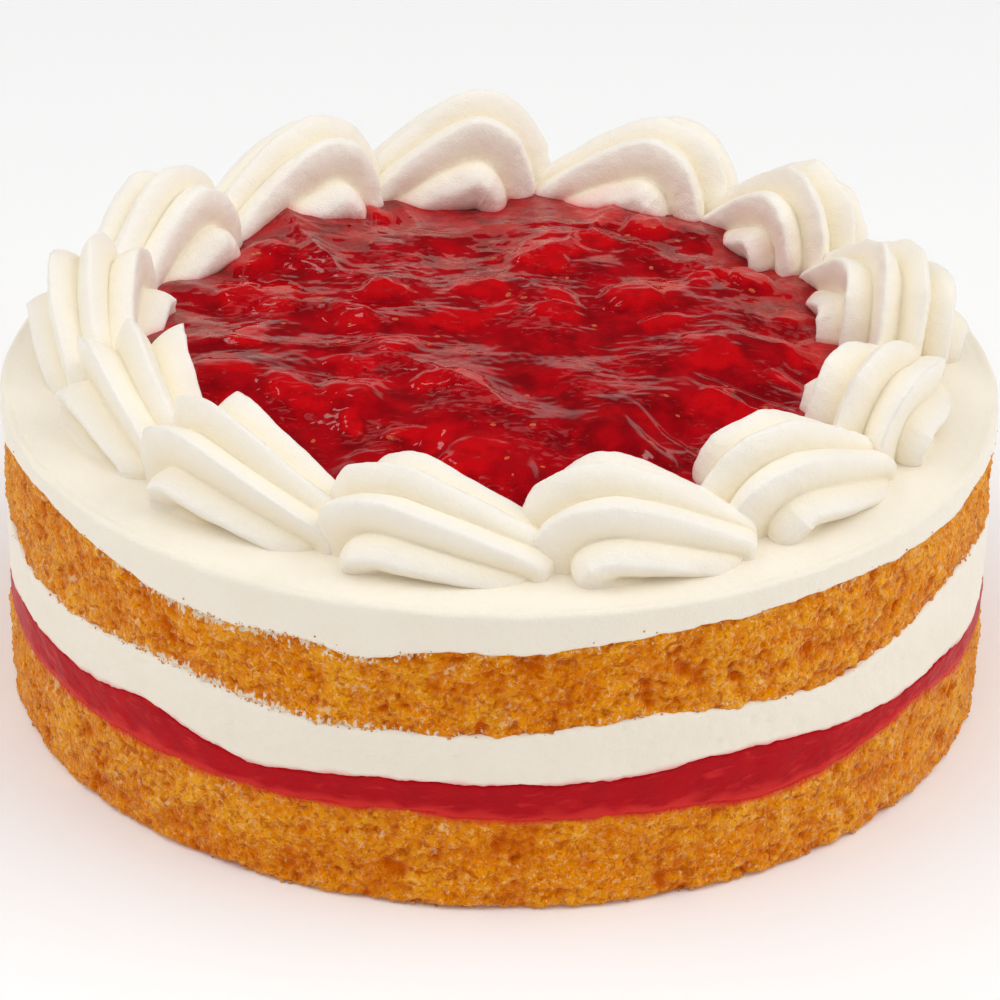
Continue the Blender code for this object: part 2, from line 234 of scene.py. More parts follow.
# Large pieces of strawberry that the photo shows: place, half sizes, turn and height
LARGE_LUMPS = (
    (24.0, 13.0, 7.0, 5.5, 0.4, 1.6), (46.0, 27.0, 5.0, 7.0, 0.3, 1.8), (-21.5, 13.0, 6.5, 4.0, 0.1, 1.5),
    (27.0, 44.0, 5.0, 5.5, 0.2, 1.5), (-46.0, 31.0, 7.5, 6.5, 0.5, 1.7), (-47.5, 12.0, 6.0, 4.5, 0.0, 1.0),
    (-36.0, -28.0, 8.0, 5.0, 2.4, 1.0), (10.0, 6.0, 6.0, 4.0, 0.3, 0.9),
)
SMALL_LUMP_COUNT = 46
SMALL_LUMP_REACH = 57.0
SMALL_LUMP_LENGTHS = (4.0, 8.5)
SMALL_LUMP_WIDTHS = (0.45, 0.8)
SMALL_LUMP_HEIGHTS = (0.3, 1.0)

# Small bodies on the jam: how many, the seed of their places, their half lengths,
# how narrow and flat they are for their length, and how deep they sink
Specks = namedtuple("Specks", "count seed sizes narrow flat sunk")
SEEDS = Specks(42, 21, (0.55, 0.8), 0.66, 0.5, 0.25)
BUBBLES = Specks(44, 23, (0.3, 0.75), 1.0, 0.6, 0.3)
SPECK_REACH = 56.0
ABOVE_CAKE = 120.0

# Crumbs along the seams, most of them by the torn edges, and round the foot
CRUMB_COUNT = 300
CRUMB_SIZES = (0.1, 0.27)
CRUMB_SUNK = 0.2
CRUMB_SPREAD = 0.35
STRAY_EVERY = 14
STRAY_SPREAD = 1.2
TORN_CRUMB_SHARE = 0.55
TORN_CRUMB_ANGLE = 238.0
TORN_CRUMB_WIDTH = 16.0
BASE_CRUMB_COUNT = 90
BASE_CRUMB_SIZES = (0.25, 0.65)
BASE_CRUMB_DEPTHS = (0.5, 1.4)


def colour(red, green, blue):
    """A colour as seen on a screen, from 0 to 255, as linear RGB."""
    shares = (value / 255 for value in (red, green, blue))
    linear = [share / 12.92 if share <= 0.04045 else ((share + 0.055) / 1.055) ** 2.4 for share in shares]
    return (*linear, 1.0)


def ease(share):
    """Smooth step from 0 to 1."""
    share = np.clip(share, 0.0, 1.0)
    return share * share * (3.0 - 2.0 * share)


def mix(low, high, share):
    return low + (high - low) * share


def bell(apart, width):
    """1 in the middle, fading away over a width."""
    return np.exp(-((apart / width) ** 2))


def degrees_apart(angle, centre):
    """How far angles in radians lie from a centre in degrees, from -180 to 180."""
    return (np.degrees(angle) - centre + 180.0) % 360.0 - 180.0


def noise_at(points, size, seed=0.0, stretch=(1.0, 1.0, 1.0)):
    """Smooth noise between about -1 and 1, with bumps of about a size."""
    points = np.asarray(points)
    places = points.reshape(-1, 3) / (size * np.array(stretch)) + seed
    values = np.array([noise.noise(place) for place in places.tolist()])
    return values.reshape(points.shape[:-1])


def pits_at(points, size, seed, share):
    """Depth of scattered round pits, from 0 to 1, in a share of the cells of a size."""
    places = points.reshape(-1, 3) / size + seed
    depths = []
    for place in places.tolist():
        distances, centres = noise.voronoi(place)
        luck = noise.cell(centres[0] * 7.31)
        width = 0.35 + 0.35 * abs(noise.cell(centres[0] * 3.7))
        depths.append(max(0.0, 1.0 - distances[0] / width) if abs(luck) < share else 0.0)
    return np.array(depths).reshape(points.shape[:-1])


def layered_noise(points, layers, seed=0.0):
    """Noise of several sizes, each given by its height, size, seed and stretch."""
    return sum(
        height * noise_at(points, size, seed + own_seed, *stretch)
        for height, size, own_seed, *stretch in layers
    )


def layered_pits(points, layers, seed=0.0):
    """Pits of several sizes, each given by its depth, size, seed and share."""
    return sum(
        depth * pits_at(points, size, seed + own_seed, share) for depth, size, own_seed, share in layers
    )


def angle_of(points):
    return np.arctan2(points[..., 1], points[..., 0])


def round_points(radius, angle, height):
    """Points from radius, angle in radians and height."""
    radius, angle, height = np.broadcast_arrays(radius, angle, height)
    return np.stack([radius * np.cos(angle), radius * np.sin(angle), height], axis=-1)


# Meshes

def ring_piece(name, first_pole, rings, last_pole, **marks):
    """Closed mesh of rings of points between two poles, all in millimetres.

    Each mark is a value for every point of the rings, kept for the material.
    """
    count, steps, _ = rings.shape
    points = np.concatenate([rings.reshape(-1, 3), [first_pole], [last_pole]])
    ring, step = np.meshgrid(np.arange(count - 1), np.arange(steps), indexing="ij")
    here = ring * steps + step
    beside = ring * steps + (step + 1) % steps
    quads = np.stack([here, beside, beside + steps, here + steps], axis=-1).reshape(-1, 4)
    step = np.arange(steps)
    beside = (step + 1) % steps
    last = (count - 1) * steps
    first_fan = np.stack([np.full(steps, count * steps), beside, step], axis=-1)
    last_fan = np.stack([np.full(steps, count * steps + 1), last + step, last + beside], axis=-1)
    mesh = bpy.data.meshes.new(name)
    mesh.from_pydata(
        (points * METRES_PER_MM).tolist(), [], quads.tolist() + first_fan.tolist() + last_fan.tolist()
    )
    face_outwards(mesh)
    for mark, values in marks.items():
        attribute = mesh.attributes.new(mark, "FLOAT", "POINT")
        ends = [values[0].mean(), values[-1].mean()]
        attribute.data.foreach_set("value", np.concatenate([values.ravel(), ends]).astype(np.float32))
    return new_piece(name, mesh)


def face_outwards(mesh):
    bm = bmesh.new()
    bm.from_mesh(mesh)
    if bm.calc_volume(signed=True) < 0.0:
        bmesh.ops.reverse_faces(bm, faces=bm.faces)
        bm.to_mesh(mesh)
    bm.free()


def new_piece(name, mesh):
    mesh.shade_smooth()
    piece = bpy.data.objects.new(name, mesh)
    bpy.context.scene.collection.objects.link(piece)
    return piece


def finish_piece(piece, material, slot, *nodes):
    """Give a piece its material, hang it on the body, and hide the CAD parts that it stands in for."""
    piece.data.materials.append(material)
    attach(piece, BODY)
    if nodes:
        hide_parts(*nodes)


# The layers

def seam_heights(seam, angle, radius):
    """Heights of a seam: wavy at the side, and level inside."""
    rise = np.zeros_like(angle)
    for centre, height, width in seam.waves:
        rise += height * bell(degrees_apart(angle, centre), width)
    return seam.height + rise * ease((radius - CORE_RADIUS) / (SEAM_RADIUS - CORE_RADIUS))


def wobble(seam, angle):
    """The fine unevenness of a seam's edge."""
    rim = round_points(CAKE_RADIUS, angle, seam.height)
    total = sum(height * noise_at(rim, size, seam.height) for size, height in WOBBLE_SIZES)
    if seam is SEAM_BOTTOM_SPONGE:
        total = JAM_WOBBLE_SHARE * total
    if seam in CREAM_SEAMS:
        teeth = np.abs(noise_at(rim, TOOTH_SIZE, TOOTH_SEED + seam.height)) - TOOTH_FOOT
        total = total + RAGGED_HEIGHT * teeth * bell(degrees_apart(angle, RAGGED_ANGLE), RAGGED_WIDTH)
    return total


def rounding(share, edge_share):
    """1 along a side, rounding off to 0 at both ends."""
    near = min(share, 1.0 - share) / edge_share
    return math.sqrt(1.0 - (1.0 - min(near, 1.0)) ** 2)


def layer_rings(lower, upper, side):
    """Rings of a layer between two seams, from under its middle to over it.

    The lowest layer has no lower seam, and stands flat.
    """
    angle = np.arange(side.steps) * math.tau / side.steps
    foot_rounding = BASE_ROUNDING if lower is None else side.rounding

    def edge(seam, radius, overlap):
        if seam is None:
            return np.zeros(side.steps)
        near = ease((radius - HIDDEN_RADII[0]) / (SEAM_RADIUS - HIDDEN_RADII[0]))
        return seam_heights(seam, angle, radius) + wobble(seam, angle) * near + overlap

    rings = []
    for radius in reversed(HIDDEN_RADII):
        rings.append(round_points(radius, angle, edge(lower, radius, -SEAM_OVERLAP)))
    bottom = edge(lower, SEAM_RADIUS, -SEAM_OVERLAP)
    top = edge(upper, SEAM_RADIUS, SEAM_OVERLAP)
    for share in np.linspace(0.0, 1.0, side.rings):
        amount = foot_rounding if share < 0.5 else side.rounding
        radius = side.radius - amount * (1.0 - rounding(share, side.edge_share))
        rings.append(round_points(radius, angle, mix(bottom, top, share)))
    for radius in HIDDEN_RADII:
        rings.append(round_points(radius, angle, edge(upper, radius, SEAM_OVERLAP)))
    return np.array(rings)


def move_out(rings, amount):
    """Move points outwards, level."""
    radius = np.linalg.norm(rings[..., :2], axis=-1)
    rings[..., :2] *= ((radius + amount) / radius)[..., None]


def side_weight(rings):
    """1 at the side of a layer, falling to 0 a little way inside."""
    radius = np.linalg.norm(rings[..., :2], axis=-1)
    return ease((radius - RELIEF_RADIUS) / RELIEF_RAMP)


def jam_soaked(rings, angle):
    """How much jam from above has soaked into the lower sponge."""
    below = seam_heights(SEAM_BOTTOM_SPONGE, angle, SEAM_RADIUS) - rings[..., 2]
    depth = SOAK_DEPTH + SOAK_UNEVENNESS * noise_at(rings, 3.5, 31.0)
    return np.clip(1.0 - below / depth, 0.0, 1.0)


def cream_smeared(rings, angle, seams):
    """How much cream is dragged over the sponge's edges, most where they are torn."""
    torn = bell(degrees_apart(angle, RAGGED_ANGLE), SMEAR_SPREAD * RAGGED_WIDTH)
    share = mix(SMEAR_LEAST, 1.0, torn)
    smear = np.zeros(rings.shape[:2])
    for seam in seams:
        if seam in CREAM_SEAMS:
            away = rings[..., 2] - seam_heights(seam, angle, SEAM_RADIUS)
            smear = np.maximum(smear, share * bell(away, SMEAR_HEIGHT))
    return smear


def sponge_relief(rings, seed):
    """Crumb that stands out, and pits that go in."""
    bends = [noise_at(rings, PIT_BEND_SIZE, seed + place) for place in PIT_BEND_SEEDS]
    bent = rings + PIT_BEND * np.stack(bends, axis=-1)
    return layered_noise(rings, SPONGE_RELIEF, seed) - layered_pits(bent, SPONGE_PITS, seed)


def notch_foot(rings):
    """Lift small notches into the sponge's foot."""
    notches = np.maximum(0.0, layered_noise(rings, FOOT_NOTCHES))
    low = np.maximum(0.0, 1.0 - rings[..., 2] / FOOT_HEIGHT) * side_weight(rings)
    rings[..., 2] += FOOT_NOTCH * notches * low


def make_sponge(name, lower, upper, seed, material):
    rings = layer_rings(lower, upper, SPONGE_SIDE)
    angle = angle_of(rings)
    stain = jam_soaked(rings, angle) if upper is SEAM_BOTTOM_SPONGE else np.zeros(rings.shape[:2])
    smear = cream_smeared(rings, angle, (lower, upper))
    relief = sponge_relief(rings, seed) * (1.0 - STAINED_FLATNESS * stain) - SPONGE_LOWERED
    move_out(rings, np.minimum(relief, SPONGE_SIDE.highest) * side_weight(rings))
    # Painted shade: how low in the relief each point lies, so the sponge's hollows are coloured darker
    hollow = np.clip(0.35 - 0.6 * relief, 0.0, 1.0)
    if lower is None:
        notch_foot(rings)
    middle = (0.0, 0.0, rings[0, :, 2].mean())
    top_middle = (0.0, 0.0, rings[-1, :, 2].mean())
    piece = ring_piece(name + "_crumb", middle, rings, top_middle, hollow=hollow, stain=stain, smear=smear)
    finish_piece(piece, material, "sponge", name)


def make_filling(material):
    rings = layer_rings(SEAM_JAM, SEAM_CREAM_FILLING, FILLING_SIDE)
    relief = layered_noise(rings, FILLING_RELIEF) - layered_pits(rings, FILLING_PITS)
    move_out(rings, np.minimum(relief, FILLING_SIDE.highest) * side_weight(rings))
    above = rings[..., 2] - seam_heights(SEAM_JAM, angle_of(rings), SEAM_RADIUS)
    stain = 0.7 * ease(1.0 - above / (0.9 + 0.9 * noise_at(rings, 4.0, 19.0)))
    bottom, top = (0, 0, SEAM_JAM.height), (0, 0, SEAM_CREAM_FILLING.height)
    piece = ring_piece("cream_filling_side", bottom, rings, top, stain=stain)
    finish_piece(piece, material, "cream", "cream_filling")


def make_jam_filling(material):
    rings = layer_rings(SEAM_BOTTOM_SPONGE, SEAM_JAM, JAM_SIDE)
    relief = layered_noise(rings, JAM_RELIEF)
    move_out(rings, np.minimum(relief, JAM_SIDE.highest) * side_weight(rings))
    angle = angle_of(rings)
    foot = seam_heights(SEAM_BOTTOM_SPONGE, angle, SEAM_RADIUS)
    share = (rings[..., 2] - foot) / (seam_heights(SEAM_JAM, angle, SEAM_RADIUS) - foot)
    lump = ease(1.0 - (share - 0.02) / (0.3 + 0.34 * noise_at(rings, 4.0, 17.0, (1.0, 1.0, 0.5))))
    bottom, top = (0, 0, SEAM_BOTTOM_SPONGE.height), (0, 0, SEAM_JAM.height)
    piece = ring_piece("jam_filling_side", bottom, rings, top, lump=lump)
    finish_piece(piece, material, "jam", "jam_filling")


def cream_top_radius(share):
    """Radius of the top cream at a share of its height: straight, then rounded over."""
    if share <= TOP_STRAIGHT_SHARE:
        foot = rounding(0.5 * share / TOP_STRAIGHT_SHARE, TOP_FOOT_SHARE)
        return CAKE_RADIUS - TOP_FOOT_ROUNDING * (1.0 - foot)
    turn = (share - TOP_STRAIGHT_SHARE) / (1.0 - TOP_STRAIGHT_SHARE)
    return CAKE_RADIUS - TOP_ROUNDING * (1.0 - math.sqrt(1.0 - turn * turn))


def cream_top_rings():
    """Rings of the top cream, from under its middle, up its side and over its level top."""
    angle = np.arange(TOP_STEPS) * math.tau / TOP_STEPS
    seam = SEAM_TOP_SPONGE
    bottom = seam_heights(seam, angle, SEAM_RADIUS) + wobble(seam, angle) - SEAM_OVERLAP
    rings = []
    for radius in reversed(HIDDEN_RADII):
        rings.append(round_points(radius, angle, seam_heights(seam, angle, radius) - SEAM_OVERLAP))
    straight = np.linspace(0.0, TOP_STRAIGHT_SHARE, TOP_SIDE_RINGS)
    rounded = [mix(TOP_STRAIGHT_SHARE, 1.0, turn) for turn in TOP_TURNS]
    for share in (*straight, *rounded):
        rings.append(round_points(cream_top_radius(share), angle, mix(bottom, CAKE_HEIGHT, share)))
    for radius in TOP_INNER_RADII:
        rings.append(round_points(radius, angle, CAKE_HEIGHT))
    return np.array(rings)


def make_cream_top(material):
    rings = cream_top_rings()
    on_top = np.zeros(rings.shape[:2])
    on_top[-len(TOP_INNER_RADII):] = 1.0
    relief = layered_noise(rings, TOP_SIDE_RELIEF) - TOP_SIDE_LOWERED
    move_out(rings, np.minimum(relief, 0.0) * side_weight(rings) * (1.0 - on_top))
    radius = np.linalg.norm(rings[..., :2], axis=-1)
    sweep = angle_of(rings)
    along = np.stack([radius, STROKE_LENGTH * np.cos(sweep), STROKE_LENGTH * np.sin(sweep)], axis=-1)
    dip = layered_noise(rings, TOP_RELIEF) - TOP_LOWERED
    dip += STROKE_HEIGHT * noise_at(along, STROKE_SIZE, STROKE_SEED)
    rings[..., 2] += np.minimum(dip, 0.0) * on_top
    piece = ring_piece("cream_top_spread", (0, 0, SEAM_TOP_SPONGE.height), rings, (0, 0, CAKE_HEIGHT))
    finish_piece(piece, material, "cream", "cream_top")


# The piped shells

def shell_form(shell, tail_length, lateral, turn, unevenness):
    """Carry points of a unit sphere, whose poles face in and out, to a shell.

    lateral is the angle from the middle towards a pole, and turn the angle
    round the poles. The results are along the ring, across it and up, and how
    deep in a valley between ridges each point is.
    """
    ridge_share = (lateral / math.pi + 0.5) * shell.ridges
    round_ridge = np.abs(np.sin(math.pi * ridge_share)) ** RIDGE_ROUNDNESS
    sharp_ridge = (1.0 - np.abs(2.0 * (ridge_share % 1.0) - 1.0)) ** RIDGE_SHARPNESS
    ridge = mix(round_ridge, sharp_ridge, shell.sharp)
    depth = mix(ROUND_RIDGE_DEPTH, SHARP_RIDGE_DEPTH, shell.sharp)
    fullness = 1.0 - depth * (1.0 - ridge) + unevenness
    axis_height = SHELL_AXIS_SHARE * shell.height
    crown = shell.height - axis_height
    reach = np.cos(lateral) * fullness
    half_width = shell.half_width * np.sin(lateral) * fullness
    tail_share = np.maximum(0.0, np.cos(turn))
    in_tail = np.cos(turn) >= 0.0
    taper = 1.0 - TAIL_DROP * tail_share ** TAIL_DROP_POWER
    roundness = np.sign(np.sin(turn)) * np.sqrt(np.abs(np.sin(turn)))
    head_place = shell.head * reach * np.cos(turn)
    tail_place = tail_length * tail_share * np.cos(lateral) ** TAIL_POINTEDNESS
    head_height = axis_height + crown * reach * np.sin(turn)
    tail_height = axis_height * taper + crown * reach * taper * roundness
    place = np.where(in_tail, tail_place, head_place)
    height = np.where(in_tail, tail_height, head_height)
    height = height - RIDGE_DROOP * ease((np.abs(np.sin(lateral)) - 0.6) / 0.4)
    half_width = half_width * (1.0 - TAIL_NARROWING * tail_share ** TAIL_DROP_POWER)
    return np.stack([place, half_width, height], axis=-1), 1.0 - ridge


def shell_surface(index, lateral, turn, rng):
    """A shell's points in place on the ring, with its valleys and its jam stains."""
    shell = SHELLS[index]
    following = SHELLS[(index + 1) % len(SHELLS)]
    pitch = math.radians((following.start - shell.start) % 360.0) * shell.radius
    tail_length = pitch - shell.head + SHELL_TUCK
    plain, valley = shell_form(shell, tail_length, lateral, turn, 0.0)
    uneven = 0.035 * noise_at(plain, 7.0, 40.0 + 5 * index) + 0.012 * noise_at(plain, 2.2, 60.0 + index)
    uneven += 0.006 * noise_at(plain, 0.9, 80.0 + index)
    ridge = np.minimum((lateral / math.pi + 0.5) * shell.ridges, shell.ridges - 1).astype(int)
    corner_turns = np.array([
        RIDGE_CORNER_TURN + rng.uniform(-CORNER_SPREAD, CORNER_SPREAD) for _ in range(shell.ridges)
    ])
    corner_heights = np.array([rng.uniform(*CORNER_HEIGHTS) for _ in range(shell.ridges)])
    heights = np.array([rng.uniform(*RIDGE_HEIGHTS) for _ in range(shell.ridges)])
    apart = np.abs(np.degrees(turn) - corner_turns[ridge])
    corner = corner_heights[ridge] * np.exp(-apart / RIDGE_CORNER_WIDTH)
    uneven += (shell.sharp * corner + heights[ridge]) * (1.0 - valley)
    local, valley = shell_form(shell, tail_length, lateral, turn, uneven)
    pose = np.array(Euler((math.radians(shell.lean), 0.0, math.radians(shell.turn))).to_matrix())
    local = local @ pose.T
    angle = math.radians(shell.start) + (shell.head + local[..., 0]) / shell.radius
    points = round_points(shell.radius + local[..., 1], angle, CAKE_HEIGHT + local[..., 2])
    points[..., 2] = np.maximum(points[..., 2], CAKE_HEIGHT - SHELL_SUNK)
    return points, valley, jam_stain(points)


def jam_stain(points):
    """How much jam colours the shells, just above where it touches them."""
    x, y = points[..., 0] - TOPPING_CENTRE.x, points[..., 1] - TOPPING_CENTRE.y
    angle = np.arctan2(y, x)
    jam_height = CAKE_HEIGHT + topping_heights(x, y, np.ones_like(x), angle)[0]
    height = np.maximum(0.0, points[..., 2] - jam_height)
    smear = ease((noise_at(points, 7.0, 71.0) - 0.05) / 0.5)
    behind = bell(degrees_apart(angle, SMEAR_ANGLE), SMEAR_WIDTH)
    smear = smear + 0.9 * behind * (0.6 + noise_at(points, 4.0, 73.0))
    inside = ease((STAIN_REACH - np.hypot(x, y)) / 6.0)
    stain = 0.75 * np.exp(-height / STAIN_FADE) + 0.4 * smear * np.exp(-height / SMEAR_FADE)
    return np.clip(inside * stain, 0.0, 1.0)


def make_shells(material):
    """Make the shells, and return a search tree of their surfaces."""
    rng = random.Random(5)
    lateral = np.linspace(-math.pi / 2, math.pi / 2, SHELL_LATERAL_STEPS + 2)[1:-1]
    turn = np.arange(SHELL_TURN_STEPS) * math.tau / SHELL_TURN_STEPS - math.pi
    lateral, turn = np.meshgrid(lateral, turn, indexing="ij")
    points = []
    faces = []
    for index in range(len(SHELLS)):
        rings, valley, stain = shell_surface(index, lateral, turn, rng)
        inner_pole, outer_pole = rings[0].mean(axis=0), rings[-1].mean(axis=0)
        name = f"shell_{index + 1:02d}"
        piece = ring_piece(name + "_piped", inner_pole, rings, outer_pole, valley=valley, stain=stain)
        finish_piece(piece, material, "cream", name)
        first = len(points)
        points += [vert.co / METRES_PER_MM for vert in piece.data.vertices]
        faces += [[corner + first for corner in face.vertices] for face in piece.data.polygons]
    return BVHTree.FromPolygons(points, faces)


# The jam on top

def reach_of_jam(walls, angle, height):
    """How far the jam spreads from its centre, at a height, into the shells."""
    origin = TOPPING_CENTRE + Vector((0.0, 0.0, height))
    hit = walls.ray_cast(origin, Vector((math.cos(angle), math.sin(angle), 0.0)))
    return min(hit[3] or TOPPING_RADIUS, TOPPING_RADIUS)


def without_spikes(reaches):
    """Let each reach grow only little by little from the lowest near it."""
    for _ in range(len(reaches)):
        lower = np.minimum(np.roll(reaches, 1), np.roll(reaches, -1)) + TOPPING_REACH_STEP
        if (reaches <= lower).all():
            break
        reaches = np.minimum(reaches, lower)
    return reaches


def fruit_lumps():
    """Pieces of strawberry under the jam: place, half sizes, turn and height."""
    rng = random.Random(11)
    lumps = list(LARGE_LUMPS)
    for _ in range(SMALL_LUMP_COUNT):
        angle = rng.uniform(0.0, math.tau)
        reach = SMALL_LUMP_REACH * math.sqrt(rng.random())
        along = rng.uniform(*SMALL_LUMP_LENGTHS)
        across = along * rng.uniform(*SMALL_LUMP_WIDTHS)
        lumps.append((
            reach * math.cos(angle), reach * math.sin(angle), along, across,
            rng.uniform(0.0, math.pi), rng.uniform(*SMALL_LUMP_HEIGHTS),
        ))
    return lumps


def flat_points(x, y):
    return np.stack([x, y, np.zeros_like(x)], axis=-1)


def lump_heights(x, y):
    """Height that the fruit adds, and how much fruit lies under each point."""
    total = np.zeros_like(x)
    fruit = np.zeros_like(x)
    flat = flat_points(x, y)
    x = x + 1.1 * noise_at(flat, 3.0, 51.0)
    y = y + 1.1 * noise_at(flat, 3.0, 55.0)
    for middle_x, middle_y, along, across, turn, height in fruit_lumps():
        u = (x - middle_x) * math.cos(turn) + (y - middle_y) * math.sin(turn)
        v = (y - middle_y) * math.cos(turn) - (x - middle_x) * math.sin(turn)
        apart = np.sqrt((u / along) ** 2 + (v / across) ** 2)
        dome = 1.0 - ease((apart - 0.5) / 0.6)
        total = np.maximum(total, height * dome)
        fruit = np.maximum(fruit, dome)
    return total, fruit


def fold_heights(x, y):
    """Height of the long folds in the jam, each with a sharp crest."""
    flat = flat_points(x, y)
    bent_x = x + 1.6 * noise_at(flat, 6.0, 43.0)
    bent_y = y + 1.6 * noise_at(flat, 6.0, 47.0)
    total = np.zeros_like(x)
    for height, places in TOPPING_FOLDS:
        nearest = np.full_like(x, 1000.0)
        for (x0, y0), (x1, y1) in zip(places, places[1:]):
            length = (x1 - x0) ** 2 + (y1 - y0) ** 2
            along = np.clip(((bent_x - x0) * (x1 - x0) + (bent_y - y0) * (y1 - y0)) / length, 0.0, 1.0)
            apart = np.hypot(bent_x - mix(x0, x1, along), bent_y - mix(y0, y1, along))
            nearest = np.minimum(nearest, apart)
        total = np.maximum(total, height * np.exp(-nearest / FOLD_WIDTH))
    return total


def wrinkles_at(points, size, seed, stretch):
    """Noise with sharp crests, from -1 to 1."""
    return 1.0 - 2.0 * np.abs(noise_at(points, size, seed, stretch))


def topping_heights(x, y, share, angle):
    """Height of the jam above its foot, how much fruit shows, and how much pale sheen is painted on it."""
    edge_share = (share - TOPPING_FLAT_SHARE) / (1.0 - TOPPING_FLAT_SHARE)
    height = mix(TOPPING_HEIGHT, TOPPING_EDGE_HEIGHT, ease(edge_share))
    for centre, rise, width in TOPPING_BANKS:
        bank = rise * bell(degrees_apart(angle, centre), width)
        height = height + bank * ease((share - 0.55) / 0.45)
    flat = flat_points(x, y)
    lumps, fruit = lump_heights(x, y)
    folds = fold_heights(x, y)
    height = height + layered_noise(flat, TOPPING_SWELLS) + lumps + folds - TOPPING_LOWERED
    bent = np.stack([x, y, height * 2.2], axis=-1)
    patch = ease(0.5 + 1.3 * noise_at(flat, 14.0, 37.0) - 0.35 * fruit)
    wrinkles = wrinkles_at(bent, 5.0, 33.0, (2.2, 0.75, 1.0))
    fine = wrinkles_at(bent, 2.4, 35.0, (1.9, 0.75, 1.0))
    height = height + (WRINKLE_LEAST + WRINKLE_IN_SKIN * patch) * wrinkles
    height = height + patch * FINE_WRINKLE * fine + 0.08 * noise_at(flat, 1.5, 39.0)
    # Where a painted pale sheen, a reflection of the bright room, covers the jam: in patches, towards the
    # rim and along the folds
    rim_skin = 0.5 * ease((share - 0.72) / 0.26)
    skin = np.maximum(0.85 * patch, rim_skin)
    return height, fruit, np.maximum(skin, np.minimum(1.0, folds))


def make_topping(walls, material):
    foot = CAKE_HEIGHT - TOPPING_SUNK
    angle = np.arange(TOPPING_STEPS) * math.tau / TOPPING_STEPS
    edge = CAKE_HEIGHT + TOPPING_EDGE_HEIGHT
    reach = without_spikes(np.array([reach_of_jam(walls, a, edge) for a in angle])) + TOPPING_INTO_SHELLS
    rim, _, _ = topping_heights(reach * np.cos(angle), reach * np.sin(angle), np.ones_like(angle), angle)
    sides = []
    for level in np.linspace(0.0, 1.0, TOPPING_LEVELS + 1):
        heights = CAKE_HEIGHT + level * rim
        reaches = np.array([reach_of_jam(walls, a, h) for a, h in zip(angle, heights)])
        sides.append(without_spikes(reaches) + TOPPING_INTO_SHELLS)
    rings = [
        round_points(side, angle, mix(foot, CAKE_HEIGHT + rim, level))
        for side, level in zip(sides, np.linspace(0.0, 1.0, TOPPING_LEVELS + 1))
    ]
    share = np.linspace(1.0, 0.0, TOPPING_RINGS + 1)[1:-1, None]
    radius = share * sides[-1][None, :]
    x, y = radius * np.cos(angle), radius * np.sin(angle)
    height, fruit, skin = topping_heights(x, y, *np.broadcast_arrays(share, angle))
    surface = np.stack([x, y, CAKE_HEIGHT + height], axis=-1)
    rings = np.concatenate([np.array(rings), surface])
    side_fruit = np.zeros((TOPPING_LEVELS + 1, TOPPING_STEPS))
    rings = rings + np.array(TOPPING_CENTRE)
    first_pole = (TOPPING_CENTRE.x, TOPPING_CENTRE.y, foot)
    piece = ring_piece(
        "jam_topping_glossy", first_pole, rings, rings[-1].mean(axis=0),
        lump=np.concatenate([side_fruit, fruit]), skin=np.concatenate([side_fruit + 1.0, skin]),
    )
    finish_piece(piece, material, "jam", "jam_topping")
    return piece


def bmesh_piece(name, bm):
    mesh = bpy.data.meshes.new(name)
    bm.to_mesh(mesh)
    bm.free()
    return new_piece(name, mesh)


def joined_spheres(name, spheres, segments, levels):
    """One mesh of many small spheres, each given by its matrix."""
    bm = bmesh.new()
    for matrix in spheres:
        placed = Matrix.Scale(METRES_PER_MM, 4) @ matrix
        bmesh.ops.create_uvsphere(bm, u_segments=segments, v_segments=levels, radius=1.0, matrix=placed)
    return bmesh_piece(name, bm)


def scatter_on_jam(topping, specks):
    """Matrices of small bodies on the jam, their flat sides along its surface."""
    rng = random.Random(specks.seed)
    tree = BVHTree.FromObject(topping, bpy.context.evaluated_depsgraph_get())
    matrices = []
    for _ in range(specks.count):
        angle = rng.uniform(0.0, math.tau)
        reach = SPECK_REACH * math.sqrt(rng.random())
        x, y = reach * math.cos(angle) + TOPPING_CENTRE.x, reach * math.sin(angle) + TOPPING_CENTRE.y
        start = Vector((x, y, ABOVE_CAKE)) * METRES_PER_MM
        place, normal, _, _ = tree.ray_cast(start, Vector((0.0, 0.0, -1.0)))
        size = rng.uniform(*specks.sizes)
        scale = Matrix.Diagonal((size, size * specks.narrow, size * specks.flat, 1.0))
        turn = Matrix.Rotation(rng.uniform(0.0, math.tau), 4, "Z")
        upright = normal.to_track_quat("Z", "Y").to_matrix().to_4x4()
        place = place / METRES_PER_MM - normal * size * specks.sunk
        matrices.append(Matrix.Translation(place) @ upright @ turn @ scale)
    return matrices


def make_seeds(topping, material):
    piece = joined_spheres("strawberry_seeds", scatter_on_jam(topping, SEEDS), 10, 7)
    finish_piece(piece, material, "jam")


def make_bubbles(topping, material):
    piece = joined_spheres("jam_bubbles", scatter_on_jam(topping, BUBBLES), 14, 9)
    finish_piece(piece, material, "jam")


def add_crumb(bm, rng, angle, radius, height, size):
    """A small lump of sponge at an angle, radius and height."""
    place = Vector((radius * math.cos(angle), radius * math.sin(angle), height))
    made = bmesh.ops.create_icosphere(bm, subdivisions=1, radius=1.0)
    stretch = Vector((rng.uniform(0.7, 1.3), rng.uniform(0.7, 1.3), rng.uniform(0.6, 1.1)))
    for vert in made["verts"]:
        bump = 1.0 + 0.45 * noise.noise(vert.co * 1.7 + place)
        vert.co = place + vert.co * stretch * size * bump
    rise = max(0.0, -min(vert.co.z for vert in made["verts"]))
    for vert in made["verts"]:
        vert.co = (vert.co + Vector((0.0, 0.0, rise))) * METRES_PER_MM


